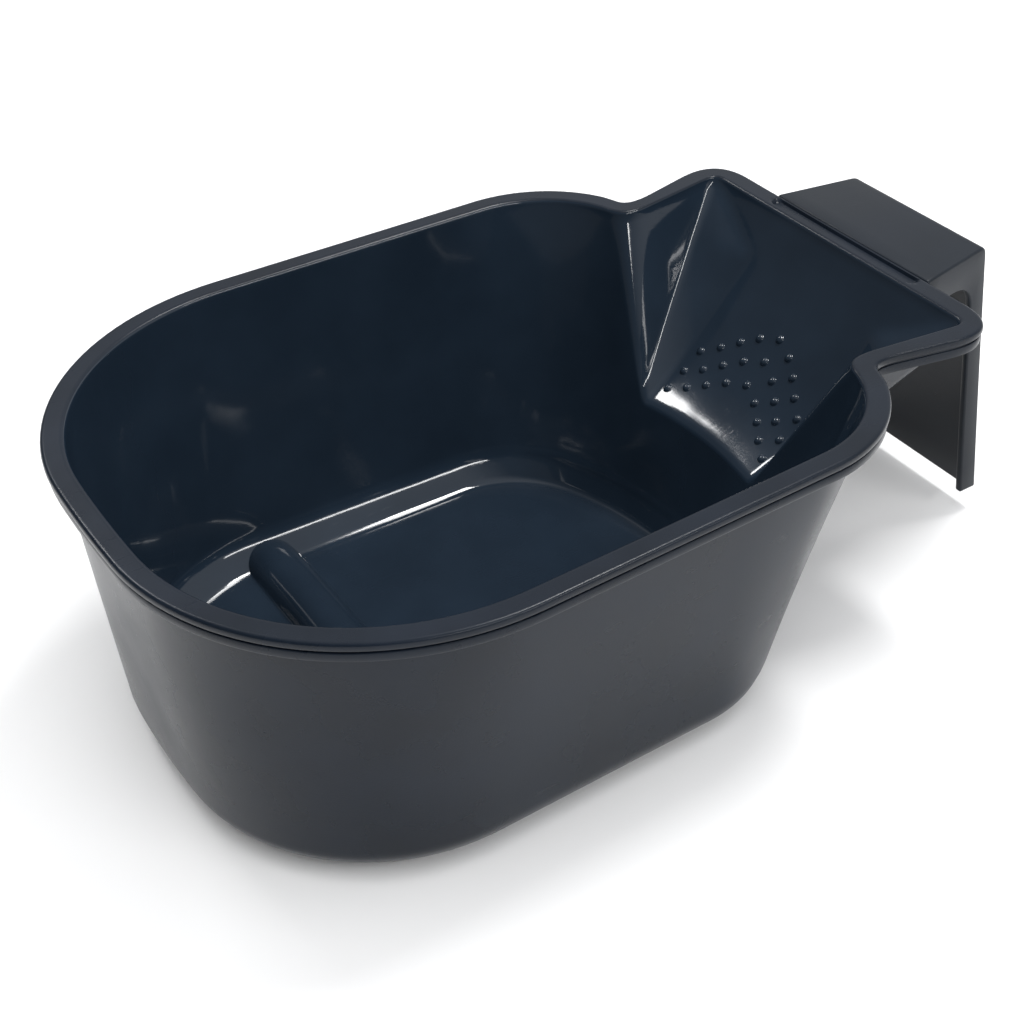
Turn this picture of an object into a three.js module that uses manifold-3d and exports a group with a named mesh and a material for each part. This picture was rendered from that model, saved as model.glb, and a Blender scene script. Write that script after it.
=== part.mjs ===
// Hair colour bowl: an oblong tub with a flared spout end, a pip-covered wiping ramp, a floor ridge,
// a rolled rim, a clip-in rail hook and a non-slip ring under the base. Millimetres, +Z up,
// +X towards the hook, z = 0 on the table, x = 0 and y = 0 in the middle of the whole outline.
import * as THREE from "three";
import { ParametricGeometry } from "three/addons/geometries/ParametricGeometry.js";
import { mergeVertices } from "three/addons/utils/BufferGeometryUtils.js";
import Module from "manifold-3d";

const wasm = await Module();
wasm.setup();

// Overall sizes
const LENGTH = 200; // round end of the rim to the outer face of the hook
const HALF = LENGTH / 2;
const HEIGHT = 68;
const WALL = 2;
const RING_POINTS = 80;

// Rim
const SPOUT_END = 177; // x of the rim's straight end, from the round end
const TAPER = 1.9; // how much narrower each side is at the spout than at the round end
const RIM = { x0: 0, x1: 150.4, half: 65.2, taper: TAPER, left: 54, right: 28.9, endL: 361, endR: 300 };
const SPOUT_CORNER = { x: SPOUT_END, y: 47.2, r: 12 };
const NOTCH_Y = 40.6;
const NOTCH_FILLET = 7;
const FLANGE = 4.7; // width of the flat rim
const FLANGE_T = 1.8;
const LIP_DROP = 4.2; // skirt below the rim's top face
const LIP_STEP = 0.9; // how far the lower step of the skirt stands back
const LIP_T = 1.3;

// Tub body
const BASE_LIFT = 1.6; // underside of the floor above the table
const FLOOR_Z = BASE_LIFT + WALL;
const COVE = 5.4;
const FLOOR = { x0: 13.4, x1: 129.8, half: 47.2, taper: 0.9, left: 37, right: 24, endL: 200, endR: 84 };
const BEND = { x0: 8.3, x1: 132.6, half: 52.2, taper: 1.2, left: 41, right: 26, endL: 230, endR: 90 };
const MOUTH = {
  x0: FLANGE, x1: 145.7, half: RIM.half - FLANGE, taper: TAPER, left: 49.3, right: 24.2, endL: 356, endR: 295,
};

// Spout
const RAMP_FOOT = { x: 132.6, y: 18, z: 29 };
const RAMP_BOW = { x: 158, z: 40.5 };
const RAMP_TOP = { x: SPOUT_END - FLANGE, y: 41.2 };
const FACET = { y: 20, z: 57.5, bow: 2.2 }; // where each side facet meets the ramp's top
const NECK = { x: 146.6, y: 37.4 }; // inner edge of the rim at the notch
const PIP_R = 0.95;
const PIP_RISE = 0.6;
const PIP_Y = [0, 5, 9.05, 12.8, 16.9];
const PIP_ROWS = [ // places along the ramp's curve, middle first, for each chevron
  [0.595, 0.555, 0.5, 0.44, 0.38],
  [0.49, 0.445, 0.385, 0.325, 0.275],
  [0.375, 0.335, 0.28, 0.225, 0.175],
];

// Floor ridge
const RIDGE = { x: 53, width: 12, height: 5.8, y: 56 };
const CHANNEL = { width: 8, height: 5.9, y: 37 }; // measured from the table

// Hook
const HOOK = {
  root: 24.5, top: 20.5, foot: 24.6, lean: 2.6, bottom: 5.6, t: 2, web: 1.8, drop: 7.2, strip: 4.8, arch: 5,
};
const GROOVE = { x0: 173.4, x1: 176.3, half: 23, depth: 1 };
const TONGUE = { half: 19, reach: 3.2, t: 1.6 };
const PLAY = 0.3;

// Base ring
const FOOT = { inset: 4.2, width: 3, height: 1.3 };

// ---------------------------------------------------------------- helpers

// A closed manifold solid from any three.js geometry, always facing outwards.
function solid(geometry) {
  const g = geometry.clone();
  g.deleteAttribute("normal");
  g.deleteAttribute("uv");
  const merged = mergeVertices(g, 1e-4);
  const index = merged.index.array;
  const build = (flip) => {
    const triVerts = [];
    for (let i = 0; i < index.length; i += 3) {
      const [a, b, c] = [index[i], index[i + 1], index[i + 2]];
      if (a !== b && b !== c && a !== c) triVerts.push(a, flip ? c : b, flip ? b : c);
    }
    return new wasm.Manifold(new wasm.Mesh({
      numProp: 3,
      vertProperties: new Float32Array(merged.attributes.position.array),
      triVerts: new Uint32Array(triVerts),
    }));
  };
  const made = build(false);
  return made.volume() < 0 ? build(true) : made;
}

// A solid through a stack of rings with equal point counts, bottom to top.
function loft(levels) {
  const count = levels[0].ring.length;
  const rows = levels.length + 1;
  const surface = (u, v, target) => {
    const row = Math.round(v * rows);
    const { ring, z } = levels[Math.min(Math.max(row - 1, 0), levels.length - 1)];
    if (row > 0 && row < rows) {
      const p = ring[Math.round(u * count) % count];
      return target.set(p.x, p.y, z);
    }
    const mean = ring.reduce((sum, p) => sum + p.x / count, 0);
    return target.set(mean, 0, z);
  };
  return solid(new ParametricGeometry(surface, count, rows));
}

function plate(ring, z0, z1) {
  const geometry = new THREE.ExtrudeGeometry(new THREE.Shape(ring), { depth: z1 - z0, bevelEnabled: false });
  geometry.translate(0, 0, z0);
  return solid(geometry);
}

function box(x0, x1, y0, y1, z0, z1) {
  const geometry = new THREE.BoxGeometry(x1 - x0, y1 - y0, z1 - z0);
  geometry.translate((x0 + x1) / 2, (y0 + y1) / 2, (z0 + z1) / 2);
  return solid(geometry);
}

const mix = (a, b, t) => a + (b - a) * t;

// A mirrored ring from its half with y >= 0, listed from the round end to the spout end.
function mirrored(half) {
  const other = half.filter((p) => Math.abs(p.y) > 1e-6).reverse();
  return [...half, ...other.map((p) => new THREE.Vector2(p.x, -p.y))].reverse();
}

// The centre of a corner arc that touches a shallow end arc, and the angle where they touch.
function cornerArc(endX, sign, endR, half, r) {
  const rise = half - r;
  const reach = Math.sqrt((endR - r) ** 2 - rise ** 2);
  return { x: endX - sign * (endR - reach), y: rise, r, angle: Math.asin(rise / (endR - r)) };
}

// Adds a tub section's half with y >= 0: end arc, corner arc, tangent side, corner arc up to stopAngle.
function halfTub(path, { x0, x1, half, taper, left, right, endL, endR }, grow, stopAngle) {
  const a = cornerArc(x0 - grow, -1, endL, half + grow, left + grow);
  const b = cornerArc(x1 + grow, 1, endR, half - taper + grow, right + grow);
  const side = Math.atan2(b.y - a.y, b.x - a.x) + Math.acos((a.r - b.r) / Math.hypot(b.x - a.x, b.y - a.y));
  path.absarc(x0 - grow + endL, 0, endL, Math.PI, Math.PI - a.angle, true);
  path.absarc(a.x, a.y, a.r, Math.PI - a.angle, side, true);
  path.absarc(b.x, b.y, b.r, side, stopAngle ? stopAngle(b) : b.angle, true);
  if (!stopAngle) path.absarc(x1 + grow - endR, 0, endR, b.angle, 0, true);
  path.arcLengthDivisions = 4000;
  return path;
}

// A closed tub section, moved outwards by grow.
function tubRing(section, grow = 0) {
  return mirrored(halfTub(new THREE.Path(), section, grow).getSpacedPoints(RING_POINTS / 2));
}

// A corner of a section rounded with a short curve; reach is the length used on each side.
function rounded(before, corner, after, reach, points) {
  const back = Math.min(reach, before.distanceTo(corner) * 0.45);
  const on = Math.min(reach, corner.distanceTo(after) * 0.45);
  const start = corner.clone().add(before.clone().sub(corner).setLength(back));
  const stop = corner.clone().add(after.clone().sub(corner).setLength(on));
  return new THREE.QuadraticBezierCurve(start, corner, stop).getPoints(points);
}

// The same closed ring moved inwards by d.
function inset(ring, d) {
  const n = ring.length;
  return ring.map((p, i) => {
    const along = ring[(i + 1) % n].clone().sub(ring[(i + n - 1) % n]).normalize();
    return new THREE.Vector2(p.x - along.y * d, p.y + along.x * d);
  });
}

// ---------------------------------------------------------------- tub shell

// The rim's outer outline: tub arcs, a concave notch, the flared side and the straight spout end.
function rimRing() {
  const path = halfTub(new THREE.Path(), RIM, 0, (arc) => Math.asin((NOTCH_Y - arc.y) / arc.r));
  const arcs = path.getSpacedPoints(44);
  const notch = arcs.at(-1);
  const corner = new THREE.Vector2(SPOUT_CORNER.x, SPOUT_CORNER.y);
  const end = new THREE.Vector2(SPOUT_END, 0);
  const kept = arcs.filter((p) => p.distanceTo(notch) > NOTCH_FILLET);
  const fillet = rounded(kept.at(-1), notch, corner, NOTCH_FILLET, 8);
  return mirrored([...kept, ...fillet, ...rounded(notch, corner, end, SPOUT_CORNER.r, 6), end]);
}

// Body sections from the base to the mouth; grow > 0 gives the outside of the wall.
function body(grow, drop, top) {
  const at = (t) => {
    const s = {};
    for (const key of Object.keys(BEND)) s[key] = mix(BEND[key], MOUTH[key], t);
    return s;
  };
  const cove = [0, 0.12, 0.5, 0.88].map((t) => {
    const s = {};
    for (const key of Object.keys(FLOOR)) s[key] = mix(FLOOR[key], BEND[key], t);
    const round = t === 0 ? 0 : t - 0.35 * t * (1 - t);
    return { ring: tubRing(s, grow), z: FLOOR_Z - drop + COVE * round };
  });
  const bend = FLOOR_Z + COVE;
  const walls = [0.03, 0.25, 0.5, 0.75, 1].map((t) => ({
    ring: tubRing(at(t), grow),
    z: mix(bend - drop * (1 - t), top, t),
  }));
  return loft([...cove, ...walls]);
}

const ramp = new THREE.QuadraticBezierCurve(
  new THREE.Vector2(RAMP_FOOT.x, RAMP_FOOT.z),
  new THREE.Vector2(RAMP_BOW.x, RAMP_BOW.z),
  new THREE.Vector2(RAMP_TOP.x, HEIGHT),
);

// Where the ramp stands at height z.
function rampX(z) {
  const [a, b, c] = [RAMP_FOOT.z, RAMP_BOW.z, HEIGHT];
  const [p, q, r] = [a - 2 * b + c, 2 * (b - a), a - z];
  const t = (-q + Math.sqrt(Math.max(q * q - 4 * p * r, 0))) / (2 * p);
  return ramp.getPoint(Math.min(Math.max(t, 0), 1)).x;
}

// One section of the spout's hollow: neck cheek, crease, side facet and ramp.
function spoutRing(z, grow) {
  const t = (z - RAMP_FOOT.z) / (HEIGHT - RAMP_FOOT.z);
  const crease = new THREE.Vector2(mix(RAMP_FOOT.x, RAMP_TOP.x, t), mix(RAMP_FOOT.y, RAMP_TOP.y, t));
  const neck = new THREE.Vector2(mix(RAMP_FOOT.x - 2, NECK.x, t), mix(RAMP_FOOT.y - 1, NECK.y, t));
  const x = rampX(z);
  const low = (FACET.z - RAMP_FOOT.z) / (HEIGHT - RAMP_FOOT.z);
  const rise = t / low;
  const y = rise < 1 ? mix(RAMP_FOOT.y, FACET.y, rise) + FACET.bow * 4 * rise * (1 - rise)
    : mix(FACET.y, RAMP_TOP.y, (t - low) / (1 - low));
  const joint = new THREE.Vector2(x, Math.min(y, crease.y - 0.2));
  const end = new THREE.Vector2(x, 0);
  const inside = neck.clone().add(neck.clone().sub(crease).setLength(14));
  inside.y = Math.max(inside.y, 6);
  const middle = new THREE.Vector2(inside.x, 0);
  const turn = t > 0.98 ? rounded(inside, crease, end, 7, 9)
    : [...rounded(inside, crease, joint, 3.4, 4), ...rounded(crease, joint, end, 3.4, 4)];
  const half = [middle, inside, ...turn, end];
  return mirrored(half.map((p) => new THREE.Vector2(p.x + (p.x > 128 ? grow : 0), p.y + Math.sign(p.y) * grow)));
}

function spout(grow, drop) {
  const levels = [];
  const top = HEIGHT + (grow ? 0 : 0.5);
  for (let i = 0; i <= 10; i += 1) {
    const z = mix(RAMP_FOOT.z + 0.4, HEIGHT, i / 10);
    levels.push({ ring: spoutRing(z, grow), z: i === 10 ? top : z - drop * (1 - i / 10) });
  }
  return loft(levels);
}

// Rounded pips standing on the ramp in three chevrons.
function pips() {
  const places = PIP_ROWS.flatMap((row) => row.flatMap((s, k) => (k ? [[s, PIP_Y[k]], [s, -PIP_Y[k]]] : [[s, 0]])));
  return places.map(([s, y]) => {
    const p = ramp.getPoint(s);
    const t = ramp.getTangent(s);
    const dome = new THREE.SphereGeometry(PIP_R, 8, 4);
    const lift = PIP_RISE - PIP_R;
    return solid(dome.translate(p.x - t.y * lift, y, p.y + t.x * lift));
  });
}

// The floor ridge: a round-topped dam right across the tub, open underneath.
function ridgeShape({ width, height, y }, z) {
  const shape = new THREE.Shape();
  shape.moveTo(-width / 2, -1);
  shape.lineTo(-width / 2, 0);
  shape.absellipse(0, 0, width / 2, height, Math.PI, 0, true, 0);
  shape.lineTo(width / 2, -1);
  const geometry = new THREE.ExtrudeGeometry(shape, { depth: 2 * y, bevelEnabled: false, curveSegments: 9 });
  return solid(geometry.rotateX(Math.PI / 2).translate(RIDGE.x, y, z));
}

function makeShell() {
  const rim = rimRing();
  const skirt = inset(rim, LIP_STEP);
  const outside = body(WALL, WALL, HEIGHT - 0.6).add(spout(WALL, 2.6));
  const lip = plate(skirt, HEIGHT - LIP_DROP, HEIGHT - 1).subtract(
    plate(inset(rim, LIP_STEP + LIP_T), HEIGHT - LIP_DROP - 1, HEIGHT));
  const hollow = body(0, 0, HEIGHT + 0.5).add(spout(0, 0));
  const ridge = ridgeShape(RIDGE, FLOOR_Z);
  const channel = ridgeShape(CHANNEL, 0);
  const window = box(SPOUT_END - 3.4, SPOUT_END + 1, -TONGUE.half - PLAY, TONGUE.half + PLAY,
    HEIGHT - LIP_DROP - 1, HEIGHT - FLANGE_T - 0.01);
  let shell = outside.add(plate(rim, HEIGHT - FLANGE_T, HEIGHT)).add(lip).subtract(hollow);
  shell = shell.add(ridge.intersect(body(WALL / 2, WALL / 2, HEIGHT)));
  for (const pip of pips()) shell = shell.add(pip);
  shell = shell.subtract(channel).subtract(window);
  return shell.subtract(groove()).add(baseChannel());
}

// A shallow round-ended groove in the rim beside the hook.
function groove() {
  const r = (GROOVE.x1 - GROOVE.x0) / 2;
  const shape = new THREE.Path();
  shape.absarc(GROOVE.x0 + r, -GROOVE.half + r, r, Math.PI, 0, false);
  shape.absarc(GROOVE.x0 + r, GROOVE.half - r, r, 0, Math.PI, false);
  return plate(shape.getPoints(6), HEIGHT - GROOVE.depth, HEIGHT + 1);
}

// Two low beads under the floor that hold the non-slip ring.
function baseChannel() {
  const bead = (d) => plate(tubRing(FLOOR, WALL / 2 - d), BASE_LIFT - 0.9, BASE_LIFT + 0.2).subtract(
    plate(tubRing(FLOOR, WALL / 2 - d - 1), BASE_LIFT - 2, BASE_LIFT + 1));
  return bead(FOOT.inset - 1 - PLAY).add(bead(FOOT.inset + FOOT.width + PLAY));
}

function makeFootRing() {
  return plate(tubRing(FLOOR, WALL / 2 - FOOT.inset), 0, FOOT.height).subtract(
    plate(tubRing(FLOOR, WALL / 2 - FOOT.inset - FOOT.width), -1, FOOT.height + 1));
}

// ---------------------------------------------------------------- hook

// The hook seen from the side, as a plate across the whole width: solid, or its inner space.
function sideCut(points) {
  const geometry = new THREE.ExtrudeGeometry(new THREE.Shape(points), { depth: 80, bevelEnabled: false });
  geometry.rotateX(Math.PI / 2);
  return solid(geometry.translate(0, 40, 0));
}

// The hook's outline from above at every height, moved inwards by d.
function hookBlock(d) {
  const section = (half) => {
    const far = LENGTH + 4;
    const slope = (HOOK.root - half) / (LENGTH - HOOK.lean - SPOUT_END);
    const y = (x) => HOOK.root - d - slope * (x - SPOUT_END);
    return mirrored([new THREE.Vector2(SPOUT_END + PLAY, y(SPOUT_END)), new THREE.Vector2(far, y(far))]);
  };
  return loft([{ ring: section(HOOK.foot), z: 0 }, { ring: section(HOOK.top), z: HEIGHT + 1 }]);
}

// Top plate, back plate, side webs with an arched throat, and the tongue that locks under the rim.
function makeHook() {
  const root = SPOUT_END + PLAY;
  const v = (x, z) => new THREE.Vector2(x, z);
  const back = (z, inward) => LENGTH - inward - (HOOK.lean * (z - HOOK.bottom)) / (HEIGHT - HOOK.bottom);
  const under = HEIGHT - HOOK.drop;
  const arch = rounded(v(root, under), v(back(under, HOOK.strip), under),
    v(back(HOOK.bottom, HOOK.strip), HOOK.bottom), HOOK.arch, 8);
  const crown = rounded(v(back(HOOK.bottom, 0), HOOK.bottom), v(back(HEIGHT, 0), HEIGHT), v(root, HEIGHT), 1.6, 4);
  const outer = sideCut([
    v(root, under), ...arch, v(back(HOOK.bottom, HOOK.strip), HOOK.bottom), v(back(HOOK.bottom, 0), HOOK.bottom),
    ...crown, v(root, HEIGHT),
  ]);
  const inner = sideCut([
    v(root + HOOK.t, 0), v(back(0, HOOK.t), 0), v(back(HEIGHT - HOOK.t, HOOK.t), HEIGHT - HOOK.t),
    v(root + HOOK.t, HEIGHT - HOOK.t),
  ]);
  const z = HEIGHT - FLANGE_T - PLAY;
  const tongue = box(root - TONGUE.reach, root + 1, -TONGUE.half, TONGUE.half, z - TONGUE.t, z);
  return outer.intersect(hookBlock(0)).subtract(inner.intersect(hookBlock(HOOK.web))).add(tongue);
}

// ---------------------------------------------------------------- assembly

function mesh(name, made, colour, roughness) {
  const { vertProperties, triVerts, numProp } = made.getMesh();
  const positions = [];
  for (const v of triVerts) {
    positions.push(vertProperties[v * numProp] - HALF, vertProperties[v * numProp + 1], vertProperties[v * numProp + 2]);
  }
  const geometry = new THREE.BufferGeometry();
  geometry.setAttribute("position", new THREE.Float32BufferAttribute(positions, 3));
  geometry.computeVertexNormals();
  const part = new THREE.Mesh(geometry, new THREE.MeshStandardMaterial({ color: colour, roughness, metalness: 0 }));
  part.name = name;
  return part;
}

const bowl = new THREE.Group();
bowl.name = "hair_color_bowl";
bowl.add(mesh("bowl_shell", makeShell(), 0x1b222c, 0.3));
bowl.add(mesh("rail_hook", makeHook(), 0x1f2731, 0.45));
bowl.add(mesh("non_slip_foot_ring", makeFootRing(), 0x0d0f12, 0.85));

export default bowl;
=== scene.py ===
# %% [markdown]
# # A salon hair colour bowl
# The bowl is one glossy-inside, satin-outside moulding with a hook for a trolley rail at its spout
# end and a rubber ring under its base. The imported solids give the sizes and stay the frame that
# everything is built around. Here each one gets a finer stand-in, with the rounded edges that
# make moulded plastic look moulded, and a finish of its own.

import math

import bmesh
import bpy
import numpy as np
from mathutils import Matrix, Vector


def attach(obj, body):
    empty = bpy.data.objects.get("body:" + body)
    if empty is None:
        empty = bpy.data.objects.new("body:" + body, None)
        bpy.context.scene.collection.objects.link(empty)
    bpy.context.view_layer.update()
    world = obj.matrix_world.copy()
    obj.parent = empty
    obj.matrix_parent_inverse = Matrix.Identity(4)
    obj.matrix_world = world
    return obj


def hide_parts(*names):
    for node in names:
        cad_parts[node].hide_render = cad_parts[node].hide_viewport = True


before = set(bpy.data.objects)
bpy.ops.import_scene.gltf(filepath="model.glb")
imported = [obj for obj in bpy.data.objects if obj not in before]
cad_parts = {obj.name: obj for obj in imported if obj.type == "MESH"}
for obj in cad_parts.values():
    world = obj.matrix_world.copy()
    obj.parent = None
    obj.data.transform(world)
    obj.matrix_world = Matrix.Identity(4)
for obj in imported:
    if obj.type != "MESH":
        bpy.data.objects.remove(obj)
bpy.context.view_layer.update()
MM = 0.001

# %% [markdown]
# ## The outline as radii
# Seen from above, every level of the bowl is a closed loop around one inner point, and no ray
# from that point meets it twice. So a level can be written as one distance per direction.
# That makes two shapes easy to melt together: at each direction the larger distance wins, and a
# small rounding where the two are nearly equal gives the moulded fillet. A boolean of two meshes
# would leave a knife edge there instead. Directions lie closer together towards the spout,
# because that is where the outline turns fastest.

# %% Directions around the bowl
CENTRE_X = 100.0  # mm from the round end of the rim, also the middle of the frame
half_turn = np.radians(np.concatenate([
    np.arange(0, 12, 1.0), np.arange(12, 50, 0.4), np.arange(50, 70, 1.0), np.arange(70, 180, 1.6), [180.0],
]))
TURN = np.concatenate([half_turn, -half_turn[-2:0:-1]])
FOLDED = np.abs(TURN)
COUNT = len(TURN)
print("directions in each level:", COUNT)


def radii_of(points):
    """Distance from the centre to a half outline, for every direction."""
    corners = np.asarray(points, float)
    steps = np.linspace(0, 1, 40, endpoint=False)[:, None]
    long = [a + (b - a) * steps if np.hypot(*(b - a)) > 1 else a[None] for a, b in zip(corners, corners[1:])]
    p = np.concatenate(long + [corners[-1:]])
    angle = np.arctan2(p[:, 1], p[:, 0] - CENTRE_X)
    radius = np.hypot(p[:, 0] - CENTRE_X, p[:, 1])
    order = np.argsort(angle)
    return np.interp(FOLDED, angle[order], radius[order])


def melt(a, b, width):
    """The larger of two sets of radii, rounded over where they come within width."""
    near = np.maximum(width - np.abs(a - b), 0) / width
    return np.maximum(a, b) + near ** 2 * width / 4


# %% [markdown]
# ## Tub levels
# A tub level is a long rounded rectangle: a shallow arc closes each end, a corner arc leads into
# each side, and the sides run slightly together towards the spout. Arcs that touch without a
# kink matter more on a glossy bowl than anywhere else, since a kink shows as a broken highlight.

# %% Tub outline
FLOOR = dict(x0=13.4, x1=129.8, half=47.2, taper=0.9, left=37, right=24, end_l=200, end_r=84)
BEND = dict(x0=8.3, x1=132.6, half=52.2, taper=1.2, left=41, right=26, end_l=230, end_r=90)
MOUTH = dict(x0=4.7, x1=145.7, half=60.5, taper=1.9, left=49.3, right=24.2, end_l=356, end_r=295)
RIM = dict(x0=0, x1=150.4, half=65.2, taper=1.9, left=54, right=28.9, end_l=361, end_r=300)


def corner_arc(end_x, sign, end_r, half, r):
    """Centre, radius and touching angle of a corner arc that meets a shallow end arc."""
    rise = half - r
    reach = math.sqrt((end_r - r) ** 2 - rise ** 2)
    return end_x - sign * (end_r - reach), rise, r, math.asin(rise / (end_r - r))


def arc(cx, cy, r, start, stop, steps=60):
    t = np.linspace(start, stop, steps)
    return np.stack([cx + r * np.cos(t), cy + r * np.sin(t)], 1)


def tub_half(s, grow=0.0, stop_y=None):
    """Half of a tub level, from the round end to the spout end, moved outwards by grow."""
    ax, ay, ar, aa = corner_arc(s["x0"] - grow, -1, s["end_l"], s["half"] + grow, s["left"] + grow)
    spout_half = s["half"] - s["taper"] + grow
    bx, by, br, ba = corner_arc(s["x1"] + grow, 1, s["end_r"], spout_half, s["right"] + grow)
    side = math.atan2(by - ay, bx - ax) + math.acos((ar - br) / math.hypot(bx - ax, by - ay))
    last = math.asin((stop_y - by) / br) if stop_y else ba
    runs = [
        arc(s["x0"] - grow + s["end_l"], 0, s["end_l"], math.pi, math.pi - aa),
        arc(ax, ay, ar, math.pi - aa, side),
        arc(bx, by, br, side, last),
    ]
    if not stop_y:
        runs.append(arc(s["x1"] + grow - s["end_r"], 0, s["end_r"], ba, 0))
    return np.concatenate(runs)


# %% [markdown]
# ## Spout levels
# The spout is a funnel laid on its side. A curved ramp rises from the tub's end wall to the rim,
# a flat three-sided facet leans in at each side of it, and a neck cheek joins each facet to the
# tub. All these meet at one low corner on each side. A level of it is therefore a short polygon
# whose corners slide as it rises, and each corner gets a small rounding of its own.

# %% Spout outline
HEIGHT = 68.0
SPOUT_END = 177.0
FLANGE = 4.7
RAMP_FOOT = np.array([132.6, 18.0, 29.0])
RAMP_BOW = (158.0, 40.5)
RAMP_TOP = np.array([SPOUT_END - FLANGE, 41.2, HEIGHT])
FACET_Y, FACET_Z, FACET_BOW = 20.0, 57.5, 2.2
NECK = np.array([146.6, 37.4])


def ramp_point(s):
    """A point of the ramp's middle line and its slope, s from 0 at the foot to 1 at the rim."""
    a, b, c = RAMP_FOOT[[0, 2]], np.array(RAMP_BOW), RAMP_TOP[[0, 2]]
    point = (1 - s) ** 2 * a + 2 * s * (1 - s) * b + s ** 2 * c
    slope = (1 - s) * (b - a) + s * (c - b)
    return point, slope / np.linalg.norm(slope)


def ramp_x(z):
    a, b, c = RAMP_FOOT[2], RAMP_BOW[1], HEIGHT
    p, q, r = a - 2 * b + c, 2 * (b - a), a - z
    s = (-q + math.sqrt(max(q * q - 4 * p * r, 0))) / (2 * p)
    return ramp_point(min(max(s, 0), 1))[0][0]


def rounded(before, corner, after, reach, steps=10):
    """A polygon corner drawn as a short smooth curve."""
    before, corner, after = (np.asarray(p, float) for p in (before, corner, after))
    back, on = before - corner, after - corner
    start = corner + back * min(reach / np.linalg.norm(back), 0.45)
    stop = corner + on * min(reach / np.linalg.norm(on), 0.45)
    t = np.linspace(0, 1, steps)[:, None]
    return (1 - t) ** 2 * start + 2 * t * (1 - t) * corner + t ** 2 * stop


def soften(points, width):
    """The same polygon with its corners worn round over a given width."""
    p = np.asarray(points, float)
    along = np.concatenate([[0], np.cumsum(np.linalg.norm(np.diff(p, axis=0), axis=1))])
    even = np.arange(0, along[-1], 0.25)
    fine = np.stack([np.interp(even, along, p[:, k]) for k in (0, 1)], 1)
    kernel = np.hanning(max(int(width / 0.25) | 1, 3) + 2)
    pad = len(kernel) // 2
    padded = np.concatenate([np.repeat(fine[:1], pad, 0), fine, np.repeat(fine[-1:], pad, 0)])
    return np.stack([np.convolve(padded[:, k], kernel / kernel.sum(), "valid") for k in (0, 1)], 1)


def spout_radii(z):
    """The spout's hollow at height z, as radii, and zero where it has no say."""
    t = (z - RAMP_FOOT[2]) / (HEIGHT - RAMP_FOOT[2])
    if t <= 0:
        return np.zeros(COUNT)
    crease = RAMP_FOOT[:2] + (RAMP_TOP - RAMP_FOOT)[:2] * t
    low = RAMP_FOOT[:2] - np.array([2, 1])
    neck = low + (NECK - low) * t
    x = ramp_x(z)
    rise = t / ((FACET_Z - RAMP_FOOT[2]) / (HEIGHT - RAMP_FOOT[2]))
    if rise < 1:
        y = RAMP_FOOT[1] + (FACET_Y - RAMP_FOOT[1]) * rise + FACET_BOW * 4 * rise * (1 - rise)
    else:
        y = FACET_Y + (RAMP_TOP[1] - FACET_Y) * (z - FACET_Z) / (HEIGHT - FACET_Z)
    joint = np.array([x, min(y, crease[1] - 0.2)])
    inside = neck + (neck - crease) / np.linalg.norm(neck - crease) * 14
    half = soften([inside, crease, joint, (x, 0), (x, -12)], 3.6 + 6.0 * t ** 8)
    half = half[half[:, 1] >= 0]
    return np.where(FOLDED > math.atan2(inside[1], inside[0] - CENTRE_X), 0.0, radii_of(half))


# %% [markdown]
# ## From profile to levels
# Cut across, the wall has a flat floor, a sloping band that takes the place of a plain corner, a
# long drafted side and a flat rim with a stepped lip. I draw that cut once as points of (how far
# out, how high), round its corners, and turn each point into one level. The same outline rules
# then carry it all the way round, inside and outside.

# %% Levels of the shell
WALL = 2.0
BASE_LIFT = 1.6
FLOOR_Z = BASE_LIFT + WALL
COVE = 5.4
BAND = BEND["half"] - FLOOR["half"]
SIDE = MOUTH["half"] - BEND["half"]


def tub_radii(out, grow):
    """Tub radii for a place on the profile: below 0 the floor, then the band, then the wall."""
    floor, bend, mouth = (radii_of(tub_half(s, grow)) for s in (FLOOR, BEND, MOUTH))
    if out <= 0:
        return floor * (1 + out / FLOOR["half"])
    if out <= BAND:
        return floor + (bend - floor) * out / BAND
    return bend + (mouth - bend) * (out - BAND) / SIDE


def wall_out(z, drop):
    """How far out the wall stands at height z."""
    bend = FLOOR_Z + COVE - drop
    return BAND + SIDE * (z - bend) / (HEIGHT - bend)


def blend_width(t, foot):
    """Narrow where the ramp leaves the end wall, wide at the necks beside it."""
    neck = np.clip((np.degrees(FOLDED) - 27) / 5, 0, 1)
    return foot + (4.5 + 4.0 * max(t, 0) - foot) * neck * neck * (3 - 2 * neck)


def cavity(out, z):
    t = (z - RAMP_FOOT[2]) / (HEIGHT - RAMP_FOOT[2])
    return tub_radii(out, 0) if t <= 0 else melt(tub_radii(out, 0), spout_radii(z), blend_width(t, 1.6))


def outer_wall(out, z):
    t = (z - RAMP_FOOT[2]) / (HEIGHT - RAMP_FOOT[2])
    spout = spout_radii(min(z + 2.6 * (1 - t), HEIGHT))
    return melt(tub_radii(out, WALL), np.where(spout > 0, spout + WALL * 1.1, 0), blend_width(t, 3.0))


NOTCH_Y, NOTCH_FILLET = 40.6, 7  # where the rim turns from the tub to the spout
CORNER_Y, CORNER_REACH = 47.2, 12  # the rim's two corners beside the hook
notch_run = tub_half(RIM, 0, stop_y=NOTCH_Y)
notch = notch_run[-1]
lip_corner, lip_end = np.array([SPOUT_END, CORNER_Y]), np.array([SPOUT_END, 0.0])
notch_run = notch_run[np.linalg.norm(notch_run - notch, axis=1) > NOTCH_FILLET]
RIM_RADII = radii_of(np.concatenate([
    notch_run,
    rounded(notch_run[-1], notch, lip_corner, NOTCH_FILLET, 16),
    rounded(notch, lip_corner, lip_end, CORNER_REACH, 24),
    [lip_end],
]))

levels = []  # (radii, heights, finish)


def add(radii, z, finish):
    levels.append((radii, np.full(COUNT, float(z)) if np.isscalar(z) else z, finish))


BEND_STEPS = 7  # levels in each rounded corner of the profile

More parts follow.
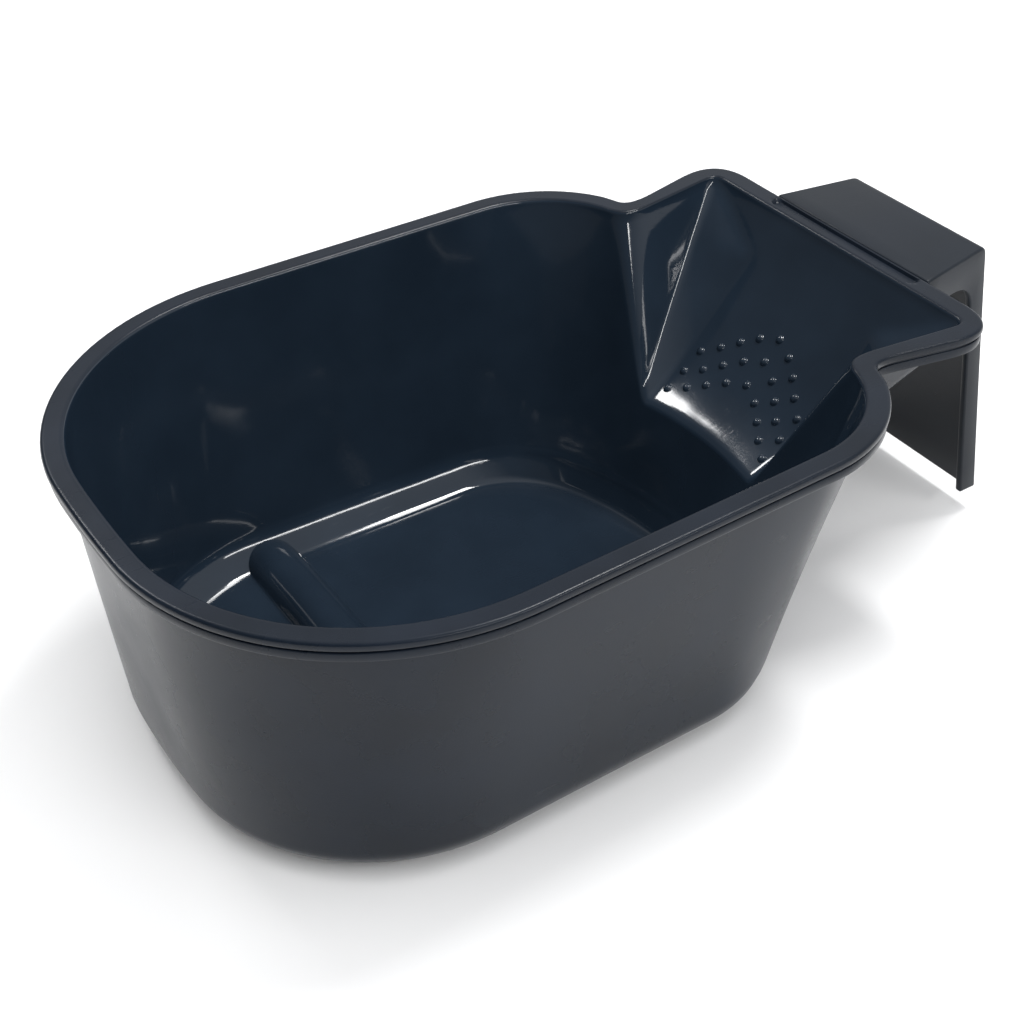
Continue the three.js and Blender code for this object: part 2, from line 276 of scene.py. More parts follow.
# inside: floor, band and drafted wall
top_out = wall_out(HEIGHT, 0)
inner = np.concatenate([
    [(-46.5, FLOOR_Z), (-34, FLOOR_Z), (-22, FLOOR_Z), (-12, FLOOR_Z), (-5, FLOOR_Z)],
    rounded((-8, FLOOR_Z), (0, FLOOR_Z), (BAND, FLOOR_Z + COVE), 1.7, BEND_STEPS),
    rounded((0, FLOOR_Z), (BAND, FLOOR_Z + COVE), (top_out, HEIGHT), 2.4, BEND_STEPS),
    [(wall_out(z, 0), z) for z in np.concatenate([
        np.arange(13, 29, 4.0), np.arange(29.5, 36, 0.5),
        np.arange(36, 50, 0.8), np.arange(50, HEIGHT - 1.2, 1.2),
    ])],
])
for out, z in inner:
    add(cavity(out, z), z, "inside")

# rim: rounded inner edge, flat top, rounded outer edge, stepped lip and its inner side
EDGE = 0.9  # rounding of the rim's inner edge
OUTER_EDGE = 0.7
mouth_top = cavity(wall_out(HEIGHT - EDGE, 0), HEIGHT - EDGE)
for a in np.radians([0, 22, 45, 68, 90]):
    z = HEIGHT - EDGE * (1 - math.sin(a))
    add(mouth_top + EDGE * (1 - math.cos(a)), z, "inside" if a < 1.0 else "outside")
flat_in, flat_out = mouth_top + EDGE, RIM_RADII - OUTER_EDGE
for share in np.linspace(0.08, 0.92, 11):
    add(flat_in + (flat_out - flat_in) * share, HEIGHT, "outside")
for a in np.radians([90, 60, 30, 0]):
    z = HEIGHT - OUTER_EDGE + OUTER_EDGE * math.sin(a)
    add(RIM_RADII - OUTER_EDGE + OUTER_EDGE * math.cos(a), z, "outside")
body_under = outer_wall(wall_out(HEIGHT - 2.4, WALL), HEIGHT - 2.4)
skirt_in = np.maximum(RIM_RADII - 2.1, body_under + 0.2)
add(RIM_RADII, HEIGHT - 1.35, "outside")
LIP_CUT = (  # how far back from the rim's edge, how far below its top: a groove, then a lower bead
    (0.12, 1.6), (0.95, 1.7), (1.0, 1.8), (1.0, 2.15), (0.9, 2.25), (0.5, 2.3), (0.38, 2.45),
    (0.38, 3.85), (0.55, 4.15), (0.8, 4.2),
)
for back_off, drop in LIP_CUT:
    add(np.maximum(RIM_RADII - back_off, body_under + 0.4), HEIGHT - drop, "outside")
add((RIM_RADII - 0.9 + skirt_in) / 2, HEIGHT - 4.2, "outside")
add(skirt_in, HEIGHT - 3.9, "outside")
add(skirt_in, HEIGHT - 2.7, "outside")
add((skirt_in + body_under) / 2 + 0.05, HEIGHT - 2.5, "outside")

# outside: wall, band and underside
outer_top = wall_out(HEIGHT - 3.0, WALL)
wall_heights = [np.arange(HEIGHT - 3.0, 46, -1.3), np.arange(46, 26, -0.7), np.arange(25, 11, -3.5)]
for z in np.concatenate(wall_heights):
    add(outer_wall(wall_out(z, WALL), z), z, "outside")
under = np.concatenate([
    rounded((outer_top, HEIGHT), (BAND, BASE_LIFT + COVE), (0, BASE_LIFT), 3.0, BEND_STEPS),
    rounded((BAND, BASE_LIFT + COVE), (0, BASE_LIFT), (-8, BASE_LIFT), 1.6, BEND_STEPS),
])
for out, z in under:
    add(tub_radii(out, WALL), z, "outside")
print("levels:", len(levels), "faces:", len(levels) * COUNT)

# %% [markdown]
# ## The base channel
# Two low beads under the floor hold the rubber ring. They are levels too: the profile steps down,
# along and up again at each bead, then crosses the flat underside to its middle.

# %% Beads under the floor
BEADS = ((-1.9, -2.9), (-6.5, -7.5))  # outer and inner edge, measured from the floor's outline
for outer_edge, inner_edge in BEADS:
    bead_cut = (
        (outer_edge + 0.1, BASE_LIFT), (outer_edge, BASE_LIFT - 0.1), (outer_edge, BASE_LIFT - 0.7),
        (outer_edge - 0.2, BASE_LIFT - 0.9), (inner_edge + 0.2, BASE_LIFT - 0.9),
        (inner_edge, BASE_LIFT - 0.7), (inner_edge, BASE_LIFT - 0.1), (inner_edge - 0.1, BASE_LIFT),
    )
    for grow, z in bead_cut:
        add(radii_of(tub_half(FLOOR, grow)), z, "outside")
base_flat = radii_of(tub_half(FLOOR, -9.0))
for share in (1.0, 0.8, 0.55, 0.3, 0.04):
    add(base_flat * share, BASE_LIFT, "outside")

# %% [markdown]
# ## The groove beside the hook
# A shallow round-ended groove lies in the flat rim beside the hook. The rim's levels are close
# together there, so it is pressed in by lowering their points along a soft-edged slot shape.

# %% Press the groove
GROOVE_MID = 174.9
GROOVE_R = 1.3
GROOVE_HALF = 23.0
GROOVE_DEPTH = 0.9


def groove_drop(x, y):
    away = np.hypot(x - GROOVE_MID, np.maximum(np.abs(y) - (GROOVE_HALF - GROOVE_R), 0)) - GROOVE_R
    t = np.clip(0.5 - away / 0.5, 0, 1)
    return GROOVE_DEPTH * t * t * (3 - 2 * t)


for i, (radii, z, finish) in enumerate(levels):
    if np.all(z >= HEIGHT - 0.01):
        x, y = CENTRE_X + radii * np.cos(TURN), radii * np.sin(TURN)
        levels[i] = (radii, z - groove_drop(x, y), finish)

# %% [markdown]
# ## Build the shell
# A ring of vertices is made with create_circle and set on the first level. Extruding its edges
# and setting the new ring on the next level, again and again, grows the wall like a potter's
# coil. The first and last rings are then filled, or joined to each other for a ring-shaped part.

# %% Grow a shape level by level
FINISHES = {"inside": 0, "outside": 1}


def place_ring(verts, radii, z):
    for v, r, a, h in zip(verts, radii, TURN, z):
        v.co = (r * math.cos(a) * MM, r * math.sin(a) * MM, h * MM)


def extrude_ring(bm, edges, order):
    """Extrude a closed ring of edges. Each new vertex keeps the number of the one it came from."""
    made = bmesh.ops.extrude_edge_only(bm, edges=edges)["geom"]
    fresh = {}
    for v in (g for g in made if isinstance(g, bmesh.types.BMVert)):
        fresh[v] = next(order[o] for o in (e.other_vert(v) for e in v.link_edges) if o in order)
    ring = [g for g in made if isinstance(g, bmesh.types.BMEdge) and all(v in fresh for v in g.verts)]
    return fresh, ring, [g for g in made if isinstance(g, bmesh.types.BMFace)]


def grow_levels(levels, closed):
    bm = bmesh.new()
    ring = bmesh.ops.create_circle(bm, cap_ends=False, radius=0.05, segments=COUNT)["verts"]
    place_ring(ring, *levels[0][:2])
    first = edges = list(bm.edges)
    order = {v: i for i, v in enumerate(ring)}
    for radii, z, finish in levels[1:]:
        order, edges, faces = extrude_ring(bm, edges, order)
        place_ring(sorted(order, key=order.get), radii, z)
        for f in faces:
            f.material_index = FINISHES[finish]
    if closed:
        bmesh.ops.bridge_loops(bm, edges=first + edges)
    else:
        for loop, finish in ((first, "inside"), (edges, "outside")):
            cap = bmesh.ops.contextual_create(bm, geom=loop)["faces"]
            for f in cap:
                f.material_index = FINISHES[finish]
            bmesh.ops.poke(bm, faces=cap)
    bmesh.ops.recalc_face_normals(bm, faces=bm.faces)
    return bm


def finish_piece(bm, name, sharp_degrees=40):
    """Turns a bmesh into a smooth-shaded object whose steep edges stay sharp."""
    for f in bm.faces:
        f.smooth = True
    for e in bm.edges:
        e.smooth = not (e.is_manifold and e.calc_face_angle() > math.radians(sharp_degrees))
    mesh = bpy.data.meshes.new(name)
    bm.to_mesh(mesh)
    bm.free()
    piece = bpy.data.objects.new(name, mesh)
    bpy.context.scene.collection.objects.link(piece)
    size = [round(1000 * d, 1) for d in piece.dimensions]
    print(f"{name}: {len(mesh.polygons)} faces, {size} mm")
    return piece


shell_bm = grow_levels(levels, closed=False)
print("shell faces:", len(shell_bm.faces))

# %% [markdown]
# ## The hollow under the ridge
# A dam stands on the floor near the round end, and a moulder leaves its underside hollow so that
# the plastic has the same thickness everywhere. Four cuts with bisect_plane outline a strip on
# the flat underside and extruding it upwards makes the hollow. A slightly wider strip of the floor
# above is raised the same way, so the wall stays closed; the ridge covers it.

# %% Raise the floor strip and the hollow
RIDGE_X = -47.0
RIDGE_HALF = 6.0
RIDGE_RISE = 5.8


def raise_strip(bm, z, up, half_x, half_y):
    """Cut a rectangle out of the flat faces at height z and extrude it by up."""
    def flat():
        return [f for f in bm.faces if all(abs(v.co.z - z * MM) < 1e-6 for v in f.verts)]
    for co, no in (((RIDGE_X - half_x, 0, 0), (1, 0, 0)), ((RIDGE_X + half_x, 0, 0), (1, 0, 0)),
                   ((0, half_y, 0), (0, 1, 0)), ((0, -half_y, 0), (0, 1, 0))):
        faces = flat()
        geom = list({g for f in faces for g in (*f.verts, *f.edges, f)})
        bmesh.ops.bisect_plane(bm, geom=geom, dist=1e-7, plane_co=Vector(co) * MM, plane_no=no)
    strip = []
    for f in flat():
        c = f.calc_center_median() / MM
        if abs(c.x - RIDGE_X) < half_x and abs(c.y) < half_y:
            strip.append(f)
    made = bmesh.ops.extrude_face_region(bm, geom=strip)["geom"]
    bmesh.ops.translate(bm, verts=[g for g in made if isinstance(g, bmesh.types.BMVert)], vec=(0, 0, up * MM))
    bmesh.ops.delete(bm, geom=[f for f in strip if f.is_valid], context="FACES_ONLY")
    print("strip at", z, "mm:", len(strip), "faces raised by", up, "mm")


raise_strip(shell_bm, FLOOR_Z, 2.9, 4.6, 37.6)
raise_strip(shell_bm, BASE_LIFT, 4.3, 4.0, 37.0)
bmesh.ops.recalc_face_normals(shell_bm, faces=shell_bm.faces)
shell = finish_piece(shell_bm, "bowl_shell_moulding")

# %% [markdown]
# ## The ridge
# The ridge is a low round-topped dam right across the tub. Its cut is half an ellipse with a small
# flare at its feet, as a mould leaves where a rib meets a floor. I extrude that cut across the
# bowl. Its last sections lean out with the sloping band, so that its ends run into the wall and
# stay inside the wall's thickness.

# %% Ridge
def half_width(section, x):
    """Half the width of a tub level at x."""
    p = tub_half(section)
    keep = p[:, 0] < 120
    return float(np.interp(x, p[keep, 0], p[keep, 1]))


def inner_side(z):
    """Where the inner face of the wall stands at the ridge, at height z."""
    floor, bend, mouth = (half_width(s, RIDGE_X + CENTRE_X) for s in (FLOOR, BEND, MOUTH))
    t = (z - FLOOR_Z) / COVE
    if t < 1:
        return floor + (bend - floor) * t
    return bend + (mouth - bend) * (z - FLOOR_Z - COVE) / (HEIGHT - FLOOR_Z - COVE)


top = [(RIDGE_HALF * math.cos(a), RIDGE_RISE * math.sin(a)) for a in np.radians(np.arange(16, 91, 7.4))]
flare = rounded((RIDGE_HALF + 4, -0.05), (RIDGE_HALF + 0.1, -0.05), top[0], 1.6, 6)
right = [(RIDGE_HALF + 3, -0.6), *map(tuple, flare), *top]
cut = right + [(-x, z) for x, z in reversed(right[:-1])]

ridge_bm = bmesh.new()
verts = [ridge_bm.verts.new(((RIDGE_X + x) * MM, 0, (FLOOR_Z + z) * MM)) for x, z in cut]
edges = [ridge_bm.edges.new(pair) for pair in zip(verts, verts[1:] + verts[:1])]
stations = np.concatenate([[-1.0, -0.985, -0.95], np.linspace(-0.9, 0.9, 13), [0.95, 0.985, 1.0]])


def slide(verts, share):
    """Moves one section to its place along the ridge; the last 9 mm of the crown dips to the band."""
    dip = 0.28 * np.clip((abs(share) * 53 - 43) / 9, 0, 1) ** 2
    for v, (_, z) in zip(sorted(verts, key=lambda v: v.co.x), cut_by_x):
        v.co.z = (FLOOR_Z + z * (1 - dip if z > 0 else 1)) * MM
        v.co.y = share * (inner_side(v.co.z / MM) + 0.9) * MM


cut_by_x = sorted(cut)
slide(verts, stations[0])
bmesh.ops.contextual_create(ridge_bm, geom=edges)
for share in stations[1:]:
    made = bmesh.ops.extrude_edge_only(ridge_bm, edges=edges)["geom"]
    verts = [g for g in made if isinstance(g, bmesh.types.BMVert)]
    slide(verts, share)
    edges = [g for g in made if isinstance(g, bmesh.types.BMEdge) and all(v in verts for v in g.verts)]
bmesh.ops.contextual_create(ridge_bm, geom=edges)
bmesh.ops.recalc_face_normals(ridge_bm, faces=ridge_bm.faces)
ridge = finish_piece(ridge_bm, "floor_ridge", 60)

# %% [markdown]
# ## Wiping pips
# Three chevrons of small pips stand on the ramp, so that a brush drawn over them lets go of spare
# colour. Each is a low dome with a soft foot. One outline is spun into a dome and set square to
# the ramp at each place.

# %% Pips
PIP_R = 0.95
PIP_RISE = 0.62
PIP_Y = (0, 5, 9.05, 12.8, 16.9)
PIP_ROWS = (  # places along the ramp, from the middle outwards, for each chevron
    (0.595, 0.555, 0.5, 0.44, 0.38),
    (0.49, 0.445, 0.385, 0.325, 0.275),
    (0.375, 0.335, 0.28, 0.225, 0.175),
)
pip_cut = [
    (PIP_R * 1.35, -0.15), (PIP_R * 1.12, 0.02), (PIP_R * 0.98, 0.16), (PIP_R * 0.82, 0.38),
    (PIP_R * 0.5, 0.55), (PIP_R * 0.2, PIP_RISE), (0, PIP_RISE),
]

pips_bm = bmesh.new()


def add_pip(bm, s, y):
    (x, z), (tx, tz) = ramp_point(s)
    chain = [bm.verts.new((r * MM, 0, h * MM)) for r, h in pip_cut]
    chain_edges = [bm.edges.new(pair) for pair in zip(chain, chain[1:])]
    before = set(bm.verts) - set(chain)
    bmesh.ops.spin(bm, geom=chain + chain_edges, cent=(0, 0, 0), axis=(0, 0, 1),
                   angle=2 * math.pi, steps=14, use_merge=True)
    fresh = [v for v in bm.verts if v not in before]
    bmesh.ops.remove_doubles(bm, verts=fresh, dist=1e-6)
    fresh = [v for v in bm.verts if v not in before]
    tilt = Matrix.Rotation(-math.atan2(tz, tx), 4, "Y")
    place = Matrix.Translation(Vector((x - CENTRE_X, y, z)) * MM)
    bmesh.ops.transform(bm, matrix=place @ tilt, verts=fresh)


for row in PIP_ROWS:
    for s, y in zip(row, PIP_Y):
        for side in ((1, -1) if y else (1,)):
            add_pip(pips_bm, s, side * y)
bmesh.ops.recalc_face_normals(pips_bm, faces=pips_bm.faces)
pips = finish_piece(pips_bm, "wiping_pips", 80)

# %% [markdown]
# ## The rail hook
# The hook is a U-shaped channel that runs out flat from the rim and turns down, with a deep web at
# each side under the top plate and a shallow strip down each side of the back plate. Its cut has
# eight corners. Three lines in the side view guide them: the outer face, the plate's inner face
# and the edge of the web, which turns in a wide arch. The corners are then bevelled.

# %% Hook
HOOK = dict(
    root=24.5, top=20.5, foot=24.6, lean=2.6, bottom=5.6, t=2.0, web=1.8, drop=7.2, strip=4.8, arch=5.0,
)
HOOK_END = 200.0


def back(z, inward=0.0):
    return HOOK_END - inward - HOOK["lean"] * (z - HOOK["bottom"]) / (HEIGHT - HOOK["bottom"])


def side_line(level, inward, reach, steps=9):
    """One guide line: along the top at a height, round the corner, and down the back."""
    root = (SPOUT_END - 0.1, level)
    corner, foot = (back(level, inward), level), (back(HOOK["bottom"], inward), HOOK["bottom"])
    bend = rounded(root, corner, foot, reach, steps)
    out = np.linspace(root, bend[0], 5)[:-1]
    down = np.linspace(bend[-1], foot, 9)[1:]
    return np.concatenate([out, bend, down])


def hook_half(x, z):
    half = HOOK["foot"] + (HOOK["top"] - HOOK["foot"]) * z / HEIGHT
    return HOOK["root"] - (HOOK["root"] - half) * (x - SPOUT_END) / (HOOK_END - HOOK["lean"] - SPOUT_END)


outer_line = side_line(HEIGHT, 0.0, 2.0)
plate_line = side_line(HEIGHT - HOOK["t"], HOOK["t"], 1.2)
web_line = side_line(HEIGHT - HOOK["drop"], HOOK["strip"], HOOK["arch"] + 1)


def hook_cut(k):
    """The eight corners of the channel at one station, in order round the U."""
    o, i, w = outer_line[k], plate_line[k], web_line[k]
    left = [(o, 0), (w, 0), (w, HOOK["web"]), (i, HOOK["web"])]
    points = [(p[0], hook_half(*p) - inset, p[1]) for p, inset in left]
    points += [(x, -y, z) for x, y, z in reversed(points)]
    return [Vector((x - CENTRE_X, y, z)) * MM for x, y, z in points]


hook_bm = bmesh.new()
verts = [hook_bm.verts.new(co) for co in hook_cut(0)]
edges = [hook_bm.edges.new(pair) for pair in zip(verts, verts[1:] + verts[:1])]
bmesh.ops.contextual_create(hook_bm, geom=edges)
order = {v: i for i, v in enumerate(verts)}
for k in range(1, len(outer_line)):
    order, edges, _ = extrude_ring(hook_bm, edges, order)
    places = hook_cut(k)
    for v, i in order.items():
        v.co = places[i]
bmesh.ops.contextual_create(hook_bm, geom=edges)
bmesh.ops.recalc_face_normals(hook_bm, faces=hook_bm.faces)
crisp = [e for e in hook_bm.edges if e.calc_face_angle() > math.radians(50)]
bmesh.ops.bevel(hook_bm, geom=crisp, offset=0.6 * MM, offset_type="OFFSET", segments=3, profile=0.5,
                affect="EDGES", material=-1)
hook = finish_piece(hook_bm, "rail_hook_moulding", 50)

# %% [markdown]
# ## The rubber ring
# A soft ring sits in the channel under the base and keeps the bowl from sliding. It is a rounded
# strip that follows the floor's outline, so it is grown from levels too, and the last ring of
# vertices is bridged back to the first.

# %% Foot ring
RING_OUT, RING_IN, RING_H, RING_EDGE = -3.2, -6.2, 1.3, 0.45
ring_cut = []
for cx, cz, start in ((RING_OUT - RING_EDGE, RING_EDGE, -90), (RING_OUT - RING_EDGE, RING_H - RING_EDGE, 0),
                      (RING_IN + RING_EDGE, RING_H - RING_EDGE, 90), (RING_IN + RING_EDGE, RING_EDGE, 180)):
    for a in np.radians([start, start + 30, start + 60, start + 90]):
        ring_cut.append((cx + RING_EDGE * math.cos(a), cz + RING_EDGE * math.sin(a)))
ring_levels = [(radii_of(tub_half(FLOOR, g)), np.full(COUNT, z), "inside") for g, z in ring_cut]
foot_ring = finish_piece(grow_levels(ring_levels, closed=True), "non_slip_ring", 60)

# %% [markdown]
# ## Finishes
# Everything here is plastic or rubber, so every finish is one Principled shader: no metal, the
# refractive index of the real polymer, and small amounts of texture that steer roughness, colour
# and bump. Patterns read Object coordinates, which are metres, so a scale of 1/0.0004 gives a
# grain of 0.4 mm. Colours are written as screen colours and turned to linear by one function.

# %% Helpers for finishes
def linear(hex_colour):
    parts = [int(hex_colour[i:i + 2], 16) / 255 for i in (1, 3, 5)]
    return [c / 12.92 if c <= 0.04045 else ((c + 0.055) / 1.055) ** 2.4 for c in parts] + [1.0]


def add_node(tree, kind, inputs=None, **settings):
    """One node with its settings; each input is a value or another node's output."""
    node = tree.nodes.new(kind)
    for key, value in settings.items():
        setattr(node, key, value)
    for key, value in (inputs or {}).items():
        if isinstance(value, bpy.types.NodeSocket):
            tree.links.new(value, node.inputs[key])
        else:
            node.inputs[key].default_value = value
    return node


def new_finish(name, ior):
    material = bpy.data.materials.new(name)
    material.use_nodes = True
    tree = material.node_tree
    tree.nodes.clear()
    shader = add_node(tree, "ShaderNodeBsdfPrincipled", {"IOR": ior, "Metallic": 0.0})
    add_node(tree, "ShaderNodeOutputMaterial", {"Surface": shader.outputs["BSDF"]})
    where = add_node(tree, "ShaderNodeTexCoord").outputs["Object"]
    return material, tree, shader, where


def colour_ramp(tree, value, stops):
    ramp = add_node(tree, "ShaderNodeValToRGB", {"Fac": value})
    ramp.color_ramp.elements[0].position, ramp.color_ramp.elements[0].color = stops[0]
    ramp.color_ramp.elements[1].position, ramp.color_ramp.elements[1].color = stops[1]
    return ramp.outputs["Color"]


# %% [markdown]
# ## Polished inside
# The inside looks moulded against polished steel. Which plastic it is can't be told by eye, and
# polypropylene coloured nearly black with a little blue is a fair choice. It gives sharp, dark
# reflections. Real plastic is never quite flat, so slow ripples of about 12 mm bend those
# reflections a little. The hairline scratches and faint cloudiness of use are added by choice.
# The inside's colour is set lighter than the outside's, though both are the same plastic: this
# is painted light that brightens the shaded hollow.

# %% Polished polypropylene
def polished():
    material, tree, shader, where = new_finish("moulded_polypropylene_polished", 1.49)
    cloud = add_node(tree, "ShaderNodeTexNoise",
                     {"Vector": where, "Scale": 1 / 0.022, "Detail": 3.0}).outputs["Fac"]
    # Painted light: the whole colour range sits above the outside's copy of the same plastic, to brighten the
    # shaded hollow; the cloudy mottling within it is the plastic's own.
    tree.links.new(colour_ramp(tree, cloud, [(0.3, linear("#19232e")), (0.75, linear("#1f2a36"))]),
                   shader.inputs["Base Color"])
    smear = add_node(tree, "ShaderNodeMapRange", {"Value": cloud, "From Min": 0.3, "From Max": 0.75,
                                                  "To Min": 0.06, "To Max": 0.10})
    stretch = add_node(tree, "ShaderNodeMapping",
                       {"Vector": where, "Rotation": (0.2, 0.5, 0.6), "Scale": (1, 14, 5)})
    hair = add_node(tree, "ShaderNodeTexNoise",
                    {"Vector": stretch.outputs["Vector"], "Scale": 1 / 0.006, "Detail": 2.0})
    scratch = add_node(tree, "ShaderNodeMapRange", {"Value": hair.outputs["Fac"], "From Min": 0.66,
                                                    "From Max": 0.74, "To Min": 0.0, "To Max": 0.12})
    total = add_node(tree, "ShaderNodeMath",
                     {0: smear.outputs["Result"], 1: scratch.outputs["Result"]}, operation="ADD")
    tree.links.new(total.outputs["Value"], shader.inputs["Roughness"])
    ripple = add_node(tree, "ShaderNodeTexNoise", {"Vector": where, "Scale": 1 / 0.012, "Detail": 1.0})
    bump = add_node(tree, "ShaderNodeBump",
                    {"Height": ripple.outputs["Fac"], "Strength": 0.10, "Distance": 0.0006})
    fine = add_node(tree, "ShaderNodeBump", {"Height": hair.outputs["Fac"], "Strength": 0.05,
                                             "Distance": 0.0001, "Normal": bump.outputs["Normal"]})
    tree.links.new(fine.outputs["Normal"], shader.inputs["Normal"])
    return material


# %% [markdown]
# ## Satin outside
# The outside and the rim are duller, as from a spark-eroded mould: a fine even grain spreads the
# light and makes the same plastic look greyer. Such grain is usually 0.1 to 0.2 mm; it is drawn at
# 0.35 mm so that it still shows. Soft polished patches and a few pale scuffs suggest handling.
# The shell's outer colour is set darker than the inside's, though both are the same plastic: this
# is painted shade that holds down the light the pale floor throws on the outer wall.

# %% Grained polypropylene
def grained(name, dark, light, low, high, grain=0.00035, depth=0.00006):
    material, tree, shader, where = new_finish(name, 1.49)
    shader.inputs["Specular IOR Level"].default_value = 0.24  # the grain traps part of the reflection
    patch = add_node(tree, "ShaderNodeTexNoise",
                     {"Vector": where, "Scale": 1 / 0.018, "Detail": 4.0}).outputs["Fac"]
    speck = add_node(tree, "ShaderNodeTexNoise",
                     {"Vector": where, "Scale": 1 / grain, "Detail": 2.0}).outputs["Fac"]
    tree.links.new(colour_ramp(tree, patch, [(0.3, linear(dark)), (0.72, linear(light))]),
                   shader.inputs["Base Color"])
    worn = add_node(tree, "ShaderNodeMapRange", {"Value": patch, "From Min": 0.3, "From Max": 0.7,
                                                 "To Min": low, "To Max": high})
    stretch = add_node(tree, "ShaderNodeMapping",
                       {"Vector": where, "Rotation": (0.4, 0.1, 1.1), "Scale": (2, 20, 6)})
    hair = add_node(tree, "ShaderNodeTexNoise",
                    {"Vector": stretch.outputs["Vector"], "Scale": 1 / 0.02, "Detail": 3.0})
    scuff = add_node(tree, "ShaderNodeMapRange", {"Value": hair.outputs["Fac"], "From Min": 0.68,
                                                  "From Max": 0.75, "To Min": 0.0, "To Max": 0.1})
    total = add_node(tree, "ShaderNodeMath",
                     {0: worn.outputs["Result"], 1: scuff.outputs["Result"]}, operation="SUBTRACT")
    tree.links.new(total.outputs["Value"], shader.inputs["Roughness"])
    bump = add_node(tree, "ShaderNodeBump", {"Height": speck, "Strength": 0.25, "Distance": depth})
    tree.links.new(bump.outputs["Normal"], shader.inputs["Normal"])
    return material


# %% [markdown]
# ## Rubber
# The ring is a thermoplastic elastomer: nearly black, dull, with a slightly pebbled skin that holds
# dust in its hollows.

# %% Elastomer
def elastomer():
    material, tree, shader, where = new_finish("thermoplastic_elastomer", 1.5)
    pebble = add_node(tree, "ShaderNodeTexVoronoi",
                      {"Vector": where, "Scale": 1 / 0.0009}).outputs["Distance"]
    tree.links.new(colour_ramp(tree, pebble, [(0.1, linear("#1b1d20")), (0.6, linear("#0c0d0f"))]),
                   shader.inputs["Base Color"])
    dull = add_node(tree, "ShaderNodeMapRange", {"Value": pebble, "To Min": 0.85, "To Max": 0.65})
    tree.links.new(dull.outputs["Result"], shader.inputs["Roughness"])
    bump = add_node(tree, "ShaderNodeBump", {"Height": pebble, "Strength": 0.6, "Distance": 0.0001})
    tree.links.new(bump.outputs["Normal"], shader.inputs["Normal"])
    return material


# %% [markdown]
# ## Dress the pieces
# Each piece takes its finish and rides on the one rigid body. Three of them stand for a solid of
# the frame, which is then hidden; the ridge and the pips are part of the shell's moulding, so they
# replace nothing of their own.

# %% Give each piece its finish and its body
gloss = polished()
# Painted shade: the shell's outside gets a darker copy of the inside's plastic colour, to hold down the pale
# floor's light; its patches are the plastic's own.
satin = grained("moulded_polypropylene_spark_eroded", "#0f161f", "#141c27", 0.24, 0.32)
hook_satin = grained("moulded_polypropylene_hook", "#12181f", "#181e26", 0.34, 0.42)
rubber = elastomer()
for piece, finishes, node, slot in (
    (shell, (gloss, satin), "bowl_shell", "shell_plastic"),
    (ridge, (gloss,), None, "shell_plastic"),
    (pips, (gloss,), None, "shell_plastic"),
    (hook, (hook_satin,), "rail_hook", "hook_plastic"),
    (foot_ring, (rubber,), "non_slip_foot_ring", "foot_rubber"),
):
    for finish in finishes:
        piece.data.materials.append(finish)
    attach(piece, "root")
    if node:
        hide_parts(node)

# %% [markdown]
# ## Light and floor
# Black glossy plastic shows its surroundings more than itself. A pale floor lights the outer wall
# from below, a small panel overhead draws the bright lines along the sloping band, and a long one
# in front and a small one behind catch the other edges. A wide ceiling panel whitens the floor and
# is kept out of reflections. The sky is bright above the hook and dim above the round end, so the
# rim and hook look pale while the inside stays dark.

# %% Floor, lights and sky
def pale_floor():
    material = bpy.data.materials.new("matt_white_card")
    material.use_nodes = True
    shader = material.node_tree.nodes["Principled BSDF"]
    shader.inputs["Base Color"].default_value = linear("#f7f7f7")
    shader.inputs["Roughness"].default_value = 0.9
    bm = bmesh.new()
    bmesh.ops.create_grid(bm, x_segments=1, y_segments=1, size=4.0)
    mesh = bpy.data.meshes.new("floor")
    bm.to_mesh(mesh)
    bm.free()
    floor = bpy.data.objects.new("floor", mesh)
    bpy.context.scene.collection.objects.link(floor)
    mesh.materials.append(material)


def soft_panel(name, place, aim, size, watts):
    light = bpy.data.lights.new(name, "AREA")
    light.shape = "RECTANGLE"
    light.size, light.size_y = size
    light.energy = watts
    lamp = bpy.data.objects.new(name, light)
    lamp.location = place
    lamp.rotation_mode = "QUATERNION"
    lamp.rotation_quaternion = (Vector(aim) - Vector(place)).to_track_quat("-Z", "Y")
    bpy.context.scene.collection.objects.link(lamp)
    return lamp


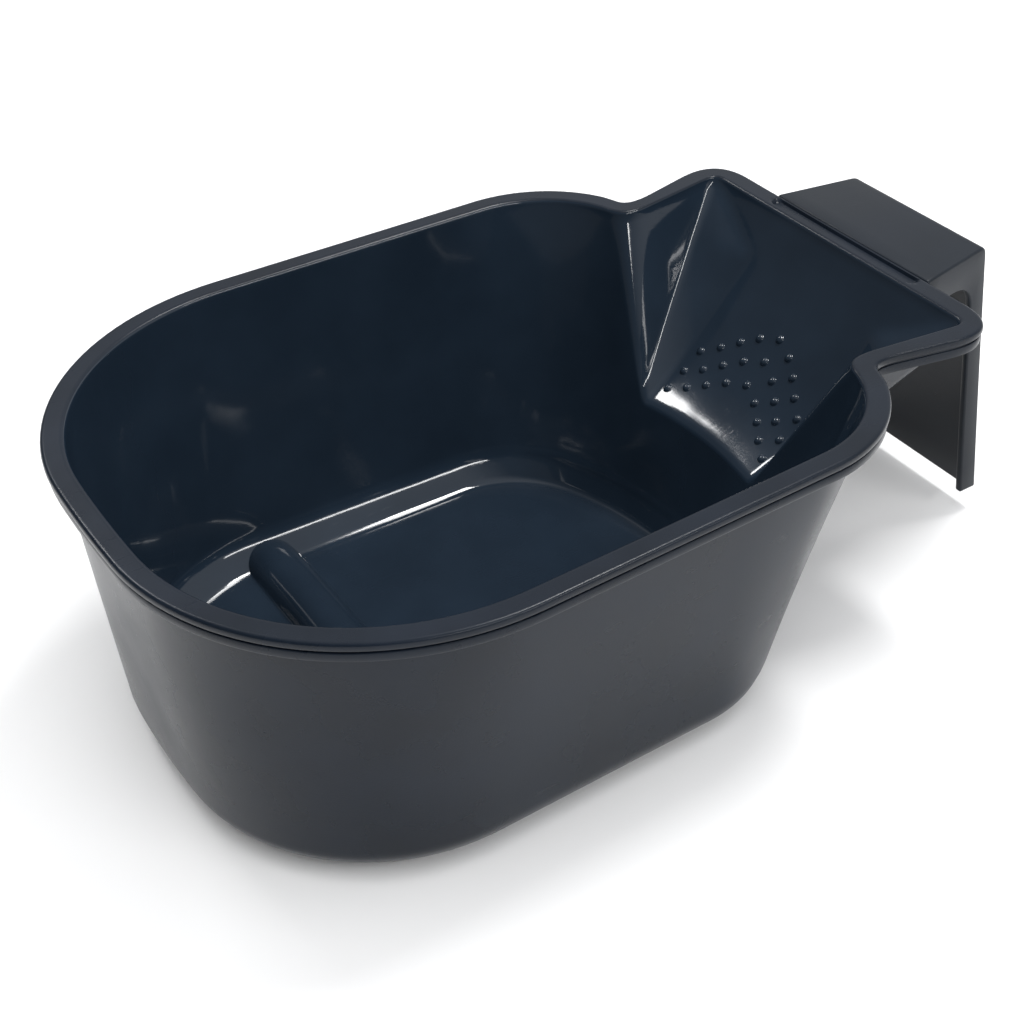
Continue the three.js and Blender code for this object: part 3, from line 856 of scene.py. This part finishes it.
pale_floor()
soft_panel("overhead", (0.36, 0.05, 0.95), (0.0, 0.02, 0), (0.30, 0.11), 5.0)
soft_panel("front", (0.20, -1.05, 0.75), (0, 0, 0.03), (1.0, 0.08), 5.5)
soft_panel("back", (-0.14, 0.78, 0.80), (0, 0, 0.03), (0.22, 0.12), 2.2)
fill = soft_panel("ceiling", (-0.45, -0.35, 1.4), (0, 0, 0), (1.4, 1.4), 14.5)
fill.visible_glossy = False  # a matt ceiling: it lights the floor and shows in no reflection
world = bpy.data.worlds.new("studio")
world.use_nodes = True
sky = world.node_tree
sky_way = add_node(sky, "ShaderNodeTexCoord").outputs["Generated"]
bright_side = add_node(sky, "ShaderNodeVectorMath",
                       {0: sky_way, 1: (0.7, 0.0, 0.7)}, operation="DOT_PRODUCT")
sky_glow = add_node(sky, "ShaderNodeMapRange", {"Value": bright_side.outputs["Value"], "From Min": 0.18,
                                                "From Max": 0.62, "To Min": 0.12, "To Max": 0.74})
backdrop = sky.nodes["Background"]
backdrop.inputs["Color"].default_value = (0.97, 0.98, 1.0, 1.0)
sky.links.new(sky_glow.outputs["Result"], backdrop.inputs["Strength"])
bpy.context.scene.world = world
bpy.context.scene.view_settings.view_transform = "Standard"

# %% [markdown]
# ## Camera
# The camera stands in front and to the left of the bowl, looking down over the round end, with a
# slight tilt of the picture. Its place is given by an aim point, a distance and three angles.

# %% Camera
AIM = Vector((-0.0148, -0.0058, 0.0370))
DISTANCE = 0.3675
AZIMUTH, ELEVATION, ROLL = math.radians(-30.66), math.radians(37.02), math.radians(-2.89)
LENS_MM = 63.389
level = math.cos(ELEVATION)
away = Vector((math.sin(AZIMUTH) * level, -math.cos(AZIMUTH) * level, math.sin(ELEVATION)))
right = Vector((0, 0, 1)).cross(away).normalized()
up = away.cross(right)
tilted_right = math.cos(ROLL) * right + math.sin(ROLL) * up
tilted_up = -math.sin(ROLL) * right + math.cos(ROLL) * up
lens = bpy.data.cameras.new("camera")
lens.lens, lens.sensor_width = LENS_MM, 36.0
lens.clip_start, lens.clip_end = 0.01, 20.0
camera = bpy.data.objects.new("camera", lens)
turned = Matrix((tilted_right, tilted_up, away)).transposed().to_4x4()
camera.matrix_world = Matrix.Translation(AIM + away * DISTANCE) @ turned
bpy.context.scene.collection.objects.link(camera)
bpy.context.scene.camera = camera
print("camera at", [round(c, 4) for c in camera.location])
